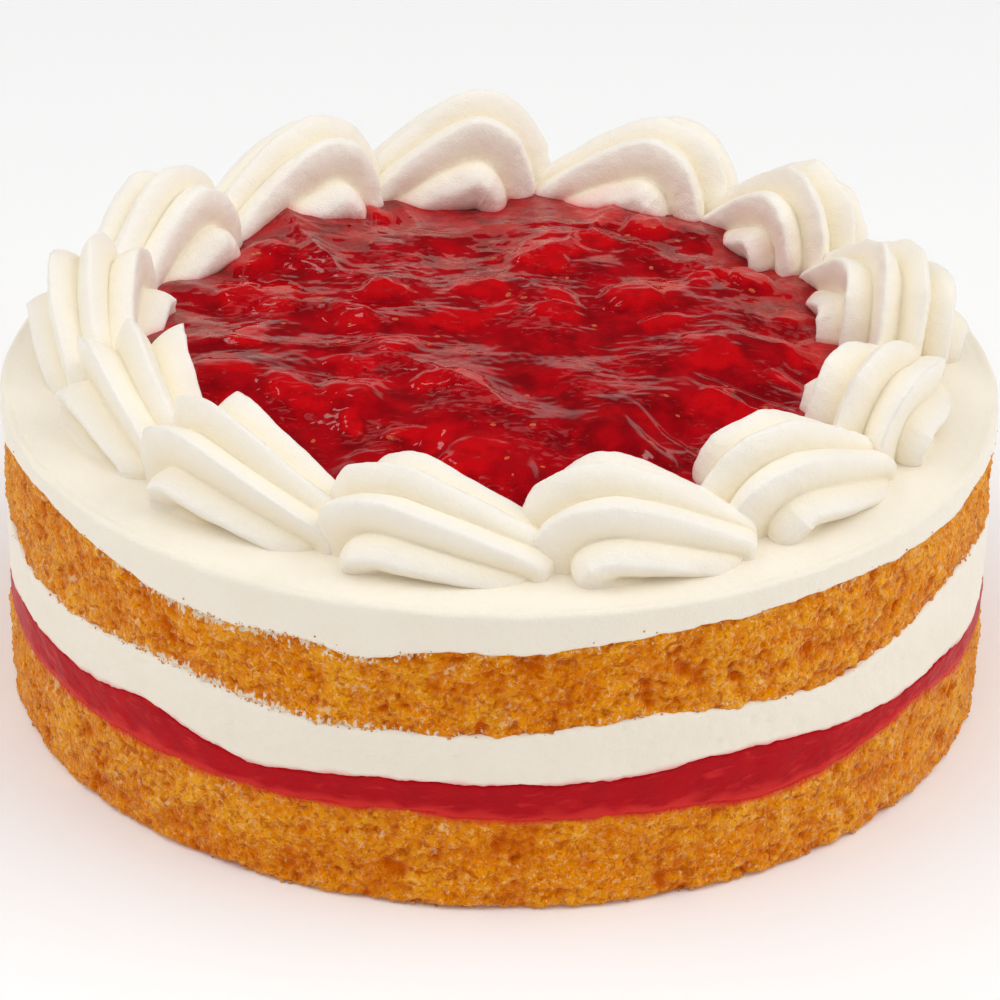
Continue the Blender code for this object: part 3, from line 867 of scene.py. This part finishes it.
def make_crumbs(material):
    """Crumbs on the cream beside the sponge, and round the cake's foot."""
    rng = random.Random(31)
    bm = bmesh.new()
    for number in range(CRUMB_COUNT):
        seam, side, outwards = rng.choice((
            (SEAM_TOP_SPONGE, 1, CAKE_RADIUS), (SEAM_CREAM_FILLING, -1, FILLING_RADIUS),
        ))
        torn = rng.random() < TORN_CRUMB_SHARE
        degrees = rng.gauss(TORN_CRUMB_ANGLE, TORN_CRUMB_WIDTH) if torn else rng.uniform(0.0, 360.0)
        angle = math.radians(degrees)
        rim = np.array(angle)
        spread = CRUMB_SPREAD if number % STRAY_EVERY else STRAY_SPREAD
        height = float(seam_heights(seam, rim, SEAM_RADIUS) + wobble(seam, rim))
        height += side * abs(rng.gauss(0.0, spread))
        add_crumb(bm, rng, angle, outwards - CRUMB_SUNK, height, rng.uniform(*CRUMB_SIZES))
    for _ in range(BASE_CRUMB_COUNT):
        size = rng.uniform(*BASE_CRUMB_SIZES)
        angle = rng.uniform(0.0, math.tau)
        radius = SPONGE_RADIUS - rng.uniform(*BASE_CRUMB_DEPTHS)
        add_crumb(bm, rng, angle, radius, 0.5 * size, size)
    finish_piece(bmesh_piece("crumbs", bm), material, "sponge")


# Materials

# The jam where it soaks into the sponge
RIM_COLOUR = colour(218, 46, 42)
# Weak glows, for the light that scatters inside cream and that a white room returns
CREAM_GLOW = 0.045
FLOOR_GLOW = 0.08


class Look:
    """A material being built, with its shader and its places in millimetres."""

    def __init__(self, name, **settings):
        self.material = bpy.data.materials.new(name)
        self.material.use_nodes = True
        self.tree = self.material.node_tree
        self.shader = self.tree.nodes["Principled BSDF"]
        for socket, value in settings.items():
            self.shader.inputs[socket.replace("_", " ")].default_value = value
        place = self.add("ShaderNodeTexCoord").outputs["Object"]
        scale = self.add("ShaderNodeVectorMath", operation="SCALE")
        self.join(place, scale.inputs[0])
        scale.inputs["Scale"].default_value = 1.0 / METRES_PER_MM
        self.place = scale.outputs["Vector"]

    def add(self, kind, **settings):
        node = self.tree.nodes.new(kind)
        for name, value in settings.items():
            setattr(node, name, value)
        return node

    def join(self, source, target):
        """Join an output to an input, or set the input to a value."""
        if isinstance(source, bpy.types.NodeSocket):
            self.tree.links.new(source, target)
        else:
            target.default_value = source

    def noise(self, size, detail=2.0, stretch=(1.0, 1.0, 1.0), twist=0.0):
        """Noise from 0 to 1 with bumps of about a size."""
        scale = self.add("ShaderNodeVectorMath", operation="DIVIDE")
        self.join(self.place, scale.inputs[0])
        scale.inputs[1].default_value = [size * share for share in stretch]
        node = self.add("ShaderNodeTexNoise")
        self.join(scale.outputs["Vector"], node.inputs["Vector"])
        node.inputs["Scale"].default_value = 1.0
        node.inputs["Detail"].default_value = detail
        node.inputs["Distortion"].default_value = twist
        return node.outputs["Fac"]

    def cells(self, size):
        """Rounded grains of about a size, 1 at their middles."""
        scale = self.add("ShaderNodeVectorMath", operation="SCALE")
        self.join(self.place, scale.inputs[0])
        scale.inputs["Scale"].default_value = 1.0 / size
        node = self.add("ShaderNodeTexVoronoi", feature="SMOOTH_F1")
        self.join(scale.outputs["Vector"], node.inputs["Vector"])
        node.inputs["Scale"].default_value = 1.0
        node.inputs["Smoothness"].default_value = 0.4
        return self.sum(1.0, node.outputs["Distance"], -1.0)

    def mark(self, name):
        """A value kept with the mesh's points."""
        return self.add("ShaderNodeAttribute", attribute_name=name).outputs["Fac"]

    def ramp(self, value, *stops):
        """Numbers or colours along a value: (place, number or colour) pairs."""
        node = self.add("ShaderNodeValToRGB")
        self.join(value, node.inputs["Fac"])
        for element, (place, shade) in zip(self.elements(node, len(stops)), stops):
            element.position = place
            element.color = shade if isinstance(shade, tuple) else (shade, shade, shade, 1.0)
        return node.outputs["Color"]

    @staticmethod
    def elements(node, count):
        elements = node.color_ramp.elements
        while len(elements) < count:
            elements.new(0.5)
        return list(elements)

    def blend(self, share, low, high):
        node = self.add("ShaderNodeMix", data_type="RGBA")
        self.join(share, node.inputs["Factor"])
        self.join(low, node.inputs[6])
        self.join(high, node.inputs[7])
        return node.outputs[2]

    def sum(self, first, second, share=1.0):
        """The first value and a share of the second."""
        node = self.add("ShaderNodeMath", operation="MULTIPLY_ADD")
        self.join(second, node.inputs[0])
        self.join(share, node.inputs[1])
        self.join(first, node.inputs[2])
        return node.outputs[0]

    def relief(self, height, depth):
        """Bumps of a depth in millimetres."""
        node = self.add("ShaderNodeBump")
        node.inputs["Distance"].default_value = depth * METRES_PER_MM
        self.join(height, node.inputs["Height"])
        self.join(node.outputs["Normal"], self.shader.inputs["Normal"])

    def paint(self, shade):
        self.join(shade, self.shader.inputs["Base Color"])


def sponge_look():
    look = Look(
        "golden_sponge", Roughness=0.95, Specular_IOR_Level=0.0, Sheen_Weight=0.5, Sheen_Roughness=0.4,
        Sheen_Tint=colour(255, 226, 176),
    )
    patches = look.ramp(look.noise(7.0, 2.0), (0.35, colour(244, 147, 2)), (0.65, colour(251, 170, 28)))
    # Painted highlights: small pale specks, as if the crumb's tips catch the light
    pale = look.ramp(look.noise(0.8, 4.0, twist=0.6), (0.52, 0.0), (0.68, 0.75))
    crumb = look.blend(pale, patches, colour(255, 206, 138))
    # Painted shade: darker orange in the hollows of the relief
    hollow = look.ramp(look.mark("hollow"), (0.3, 0.0), (0.85, 1.0))
    shade = look.blend(hollow, crumb, colour(214, 100, 0))
    # Painted shade: dark orange spots that stand for the shaded insides of pores and larger holes
    pore_shade = look.ramp(look.noise(0.9, 4.0, twist=0.8), (0.36, 0.6), (0.46, 0.0))
    shade = look.blend(pore_shade, shade, colour(196, 88, 0))
    cave_shade = look.ramp(look.noise(2.6, 5.0, (1.0, 1.0, 0.8), 1.0), (0.34, 0.75), (0.44, 0.0))
    shade = look.blend(cave_shade, shade, colour(190, 84, 0))
    smears = look.ramp(look.sum(look.noise(5.0, 2.0), look.noise(1.0, 3.0), 0.45), (0.9, 0.0), (0.97, 0.7))
    shade = look.blend(smears, shade, colour(250, 206, 150))
    wet = look.ramp(look.mark("stain"), (0.0, 0.0), (0.55, 0.6), (1.0, 1.0))
    shade = look.blend(wet, shade, RIM_COLOUR)
    dabs = look.sum(look.noise(0.8, 4.0, (1.0, 1.0, 1.8)), look.mark("smear"), 0.34)
    dabs = look.ramp(dabs, (0.74, 0.0), (0.8, 0.85))
    shade = look.blend(dabs, shade, colour(248, 238, 218))
    look.paint(shade)
    grain = look.sum(look.cells(0.7), look.noise(0.4, 3.0), 0.6)
    look.relief(look.sum(grain, look.noise(1.8, 5.0), 1.4), 0.37)
    return look.material


def crumb_look():
    look = Look("loose_crumbs", Roughness=0.85)
    look.paint(look.blend(look.noise(0.8, 2.0), colour(206, 132, 58), colour(236, 174, 104)))
    look.relief(look.noise(0.3, 2.0), 0.15)
    return look.material


def cream_look(name, low, high):
    look = Look(
        name, Roughness=0.38, Emission_Color=colour(255, 248, 230), Emission_Strength=CREAM_GLOW,
    )
    shade = look.blend(look.noise(9.0, 2.0), low, high)
    # Painted warm shade in the valleys between the ridges, for the light that scatters inside the cream
    # there
    shade = look.blend(look.mark("valley"), shade, colour(250, 239, 212))
    shade = look.blend(look.mark("stain"), shade, colour(232, 130, 126))
    look.paint(shade)
    grain = look.sum(look.noise(0.3, 2.0), look.noise(1.8, 4.0), 1.6)
    look.relief(grain, 0.13)
    return look.material


def jam_look():
    look = Look(
        "strawberry_jam", Roughness=0.35, Coat_Weight=0.9, Coat_Roughness=0.07, Coat_IOR=1.45,
        Specular_IOR_Level=0.0,
    )
    depth = look.ramp(look.noise(6.0, 3.0), (0.35, colour(124, 0, 8)), (0.62, colour(166, 0, 12)))
    fruit = look.blend(look.noise(3.0, 3.0), colour(176, 0, 10), colour(206, 6, 16))
    share = look.sum(look.noise(4.0, 4.0), look.mark("lump"), 0.35)
    share = look.ramp(share, (0.5, 0.0), (0.85, 1.0))
    shade = look.blend(share, depth, fruit)
    # Painted reflection: pale pink streaks where the wet jam would mirror the bright room; the fibres also
    # shape its bumps
    fibres = look.noise(1.5, 7.0, (2.2, 0.9, 1.0), 1.2)
    sheen_streaks = look.ramp(look.sum(fibres, look.mark("skin"), 0.25), (0.7, 0.0), (0.8, 0.3))
    look.paint(look.blend(sheen_streaks, shade, colour(190, 92, 92)))
    look.relief(look.sum(look.noise(0.8, 4.0, (1.3, 0.9, 1.0), 0.6), fibres, 0.7), 0.16)
    return look.material


def jam_side_look():
    look = Look(
        "jam_at_the_side", Roughness=0.45, Coat_Weight=0.14, Coat_Roughness=0.12, Specular_IOR_Level=0.05,
    )
    depth = look.blend(look.noise(4.0, 3.0), colour(162, 0, 18), colour(200, 2, 20))
    streak = look.ramp(look.noise(2.0, 4.0, (2.5, 2.5, 0.6), 0.5), (0.58, 0.0), (0.72, 0.6))
    depth = look.blend(streak, depth, colour(222, 44, 44))
    look.paint(look.blend(look.mark("lump"), depth, RIM_COLOUR))
    look.relief(look.noise(1.2, 3.0, (1.6, 1.6, 0.7)), 0.3)
    return look.material


def seed_look():
    look = Look("seeds", Roughness=0.3, Coat_Weight=0.6, Coat_Roughness=0.1)
    look.paint(look.blend(look.noise(2.0), colour(178, 44, 16), colour(214, 112, 50)))
    look.relief(look.noise(0.3), 0.05)
    return look.material


def floor_look():
    look = Look(
        "pale_floor", Roughness=0.7, Emission_Color=colour(255, 255, 255), Emission_Strength=FLOOR_GLOW,
    )
    look.paint(colour(247, 248, 248))
    return look.material


# The setting

CAMERA_ELEVATION = 27.98
CAMERA_DISTANCE = 791.1
CAMERA_ROLL = 1.07
AIM_HEIGHT = 29.06
IMAGE_SIZE = 1000
FOCAL_LENGTH_PX = 4303
AIM_PX = (497.3, 510.8)
SENSOR_WIDTH = 36.0
FLOOR_HALF_SIZE = 4.0

# The lights: place and size in metres, power in watts, and whether gloss shows them
Light = namedtuple("Light", "name place size power mirrored")
LIGHTS = (
    Light("right_softbox", (1.0, -0.1, 0.95), 1.2, 7.5, False),
    Light("left_softbox", (-1.0, -0.1, 0.95), 1.2, 5.8, False),
    Light("front_softbox", (0.0, -0.5, 1.25), 1.1, 1.8, False),
    Light("overhead_softbox", (0.0, -0.1, 1.25), 2.4, 14.0, False),
    Light("spark", (-0.35, 0.5, 0.8), 0.12, 0.14, True),
)
# The room round the cake: its colours up to one height and above another, where
# height is the upward share of a direction
ROOM_LOW = (0.27, (0.61, 0.55, 0.53, 1.0))
ROOM_HIGH = (0.4, (0.06, 0.06, 0.06, 1.0))


def make_camera():
    elevation = math.radians(CAMERA_ELEVATION)
    roll = math.radians(CAMERA_ROLL)
    back = Vector((0.0, -math.cos(elevation), math.sin(elevation)))
    level = Vector((1.0, 0.0, 0.0))
    rise = back.cross(level)
    right = math.cos(roll) * level + math.sin(roll) * rise
    up = math.cos(roll) * rise - math.sin(roll) * level
    pose = Matrix((right, up, back)).transposed().to_4x4()
    pose.translation = (Vector((0.0, 0.0, AIM_HEIGHT)) + CAMERA_DISTANCE * back) * METRES_PER_MM
    camera = bpy.data.cameras.new("camera")
    camera.sensor_width = SENSOR_WIDTH
    camera.lens = FOCAL_LENGTH_PX * SENSOR_WIDTH / IMAGE_SIZE
    camera.shift_x = (IMAGE_SIZE / 2 - AIM_PX[0]) / IMAGE_SIZE
    camera.shift_y = (AIM_PX[1] - IMAGE_SIZE / 2) / IMAGE_SIZE
    camera.clip_start = 0.01
    thing = bpy.data.objects.new("camera", camera)
    thing.matrix_world = pose
    bpy.context.scene.collection.objects.link(thing)
    bpy.context.scene.camera = thing


def make_floor():
    bm = bmesh.new()
    bmesh.ops.create_grid(bm, x_segments=1, y_segments=1, size=FLOOR_HALF_SIZE)
    mesh = bpy.data.meshes.new("floor")
    bm.to_mesh(mesh)
    bm.free()
    mesh.materials.append(floor_look())
    floor = bpy.data.objects.new("floor", mesh)
    bpy.context.scene.collection.objects.link(floor)


def make_light(light):
    """A square soft light aimed at the cake."""
    data = bpy.data.lights.new(light.name, "AREA")
    data.shape = "SQUARE"
    data.size = light.size
    data.energy = light.power
    thing = bpy.data.objects.new(light.name, data)
    place = Vector(light.place)
    aim = place - Vector((0.0, 0.0, AIM_HEIGHT * METRES_PER_MM))
    thing.matrix_world = Matrix.Translation(place) @ aim.to_track_quat("Z", "Y").to_matrix().to_4x4()
    thing.visible_glossy = light.mirrored
    bpy.context.scene.collection.objects.link(thing)


def make_room():
    """A pale room: bright low down, and dimmer overhead."""
    world = bpy.data.worlds.new("studio")
    world.use_nodes = True
    nodes, links = world.node_tree.nodes, world.node_tree.links
    place = nodes.new("ShaderNodeTexCoord")
    split = nodes.new("ShaderNodeSeparateXYZ")
    ramp = nodes.new("ShaderNodeValToRGB")
    links.new(place.outputs["Generated"], split.inputs[0])
    links.new(split.outputs["Z"], ramp.inputs["Fac"])
    links.new(ramp.outputs["Color"], nodes["Background"].inputs["Color"])
    for element, (height, shade) in zip(ramp.color_ramp.elements, (ROOM_LOW, ROOM_HIGH)):
        element.position = height
        element.color = shade
    nodes["Background"].inputs["Strength"].default_value = 1.0
    bpy.context.scene.world = world


def main():
    bpy.context.scene.view_settings.view_transform = "Standard"
    make_camera()
    make_room()
    for light in LIGHTS:
        make_light(light)
    make_floor()
    sponge, jam, jam_side = sponge_look(), jam_look(), jam_side_look()
    piped = cream_look("piped_cream", colour(247, 241, 230), colour(250, 246, 238))
    spread = cream_look("spread_cream", colour(243, 235, 218), colour(248, 241, 226))
    make_sponge("sponge_bottom", None, SEAM_BOTTOM_SPONGE, 2.0, sponge)
    make_sponge("sponge_top", SEAM_CREAM_FILLING, SEAM_TOP_SPONGE, 52.0, sponge)
    make_jam_filling(jam_side)
    make_filling(spread)
    make_cream_top(spread)
    walls = make_shells(piped)
    topping = make_topping(walls, jam)
    make_seeds(topping, seed_look())
    make_bubbles(topping, jam)
    make_crumbs(crumb_look())


main()
